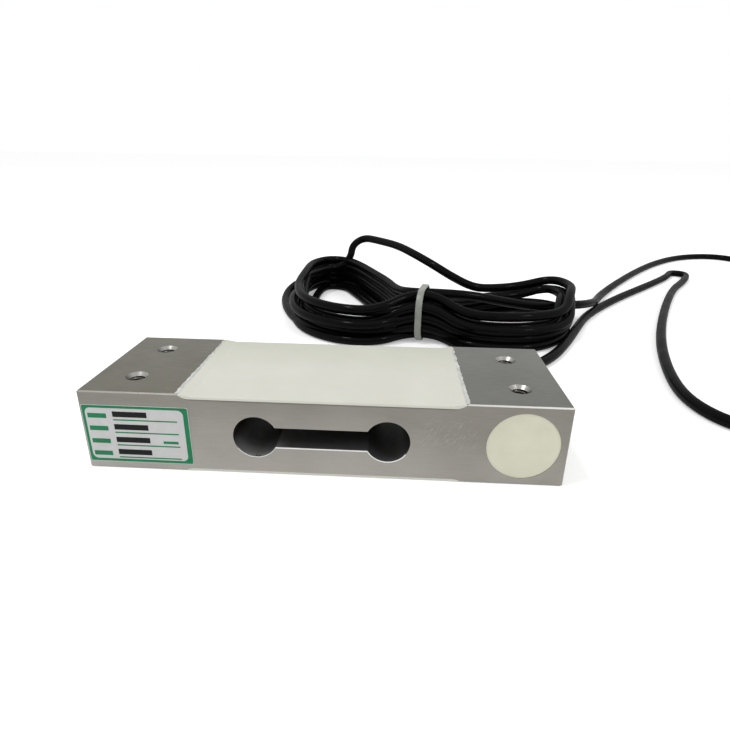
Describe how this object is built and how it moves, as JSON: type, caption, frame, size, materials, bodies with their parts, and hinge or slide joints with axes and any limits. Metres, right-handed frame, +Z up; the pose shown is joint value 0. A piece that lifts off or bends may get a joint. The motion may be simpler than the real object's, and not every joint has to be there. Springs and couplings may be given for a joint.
{
  "type": "single point load cell",
  "caption": "Aluminium single point load cell, a rectangular beam with a binocular cut-out, white sealant, a rating label and a tied black signal cable.",
  "frame": {"origin": "centre of the beam's footprint, on the face the lower pads rest on", "axes": "+X along the beam from the labelled end to the junction end, +Y from the labelled front face to the cable side, +Z up through the beam's height"},
  "size_m": [0.4224, 0.4001, 0.0292],
  "materials": {
    "beam_aluminium": "satin",
    "silicone_sealant": "matte",
    "potting_compound": "matte",
    "label_film": "matte",
    "board_laminate": "satin",
    "gauge_film": "gloss",
    "resistor_body": "matte",
    "tinned_wire": "satin",
    "enamelled_copper": "satin",
    "cable_jacket": "satin",
    "tie_nylon": "satin",
    "core_red": "satin",
    "core_black": "satin",
    "core_green": "satin",
    "core_white": "satin"
  },
  "bodies": {
    "root": {"beam_body": "beam_aluminium", "strain_gauge_top_left": "gauge_film", "strain_gauge_top_right": "gauge_film", "strain_gauge_bottom_left": "gauge_film", "strain_gauge_bottom_right": "gauge_film", "terminal_strip_top": "board_laminate", "gauge_jumpers_top": "enamelled_copper", "gauge_leads_top": "enamelled_copper", "sealant_top": "silicone_sealant", "terminal_strip_bottom": "board_laminate", "gauge_jumpers_bottom": "enamelled_copper", "gauge_leads_bottom": "enamelled_copper", "sealant_bottom": "silicone_sealant", "junction_board": "board_laminate", "trim_resistor_zero": "resistor_body", "trim_resistor_span": "resistor_body", "trim_resistor_temperature": "resistor_body", "junction_core_red": "core_red", "junction_core_black": "core_black", "junction_core_green": "core_green", "junction_core_white": "core_white", "junction_potting": "potting_compound", "rating_label": "label_film", "cable_seal": "silicone_sealant", "cable_lead": "cable_jacket", "cable_hank": "cable_jacket", "cable_tail": "cable_jacket", "cable_tie": "tie_nylon", "bare_core_red": "core_red", "bare_tip_red": "tinned_wire", "bare_core_black": "core_black", "bare_tip_black": "tinned_wire", "bare_core_green": "core_green", "bare_tip_green": "tinned_wire", "bare_core_white": "core_white", "bare_tip_white": "tinned_wire"}
  },
  "joints": []
}
